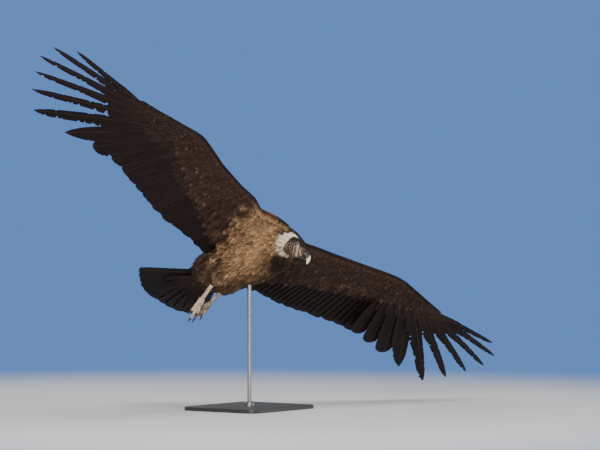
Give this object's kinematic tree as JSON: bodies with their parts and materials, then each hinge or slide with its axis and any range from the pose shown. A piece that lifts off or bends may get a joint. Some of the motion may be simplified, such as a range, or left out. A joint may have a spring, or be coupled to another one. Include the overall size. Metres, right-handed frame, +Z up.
{
  "type": "andean condor model in flight on a stand",
  "caption": "Life-size young or female Andean condor banking in flight, with spread fingered wings, fanned tail and trailing feet, held on a rod and flat base.",
  "frame": {"origin": "centre of the stand base's flat underside", "axes": "+Z up; the bird heads towards -Y, with its left wing on +X and lowered"},
  "size_m": [2.4523, 1.0419, 1.5408],
  "materials": {
    "body_plumage": "soft brown contour feathers with buff edges",
    "wing_plumage": "dark brown, slightly glossy vanes",
    "tail_plumage": "brown-black, slightly glossy vanes",
    "head_skin": "bare wrinkled skin",
    "ruff_down": "white down",
    "bill_horn": "ivory horn",
    "eye": "wet gloss",
    "leg_skin": "scaled skin",
    "claw_horn": "dark horn",
    "stand_base": "satin dark grey paint",
    "stand_rod": "brushed"
  },
  "bodies": {
    "root": {"torso": "body_plumage", "thigh_left": "body_plumage", "thigh_right": "body_plumage", "neck": "head_skin", "head": "head_skin", "ruff": "ruff_down", "bill_upper": "bill_horn", "bill_lower": "bill_horn", "eye_left": "eye", "eye_right": "eye", "wing_left_upper": "wing_plumage", "wing_left_fore": "wing_plumage", "wing_left_hand": "wing_plumage", "wing_right_upper": "wing_plumage", "wing_right_fore": "wing_plumage", "wing_right_hand": "wing_plumage", "tail": "tail_plumage", "tarsus_left": "leg_skin", "tarsus_right": "leg_skin", "foot_left": "leg_skin", "foot_right": "leg_skin", "claw_left_middle": "claw_horn", "claw_left_inner": "claw_horn", "claw_left_outer": "claw_horn", "claw_left_hind": "claw_horn", "claw_right_middle": "claw_horn", "claw_right_inner": "claw_horn", "claw_right_outer": "claw_horn", "claw_right_hind": "claw_horn", "stand_base": "stand_base", "stand_rod": "stand_rod", "stand_collar": "stand_rod"}
  },
  "joints": []
}
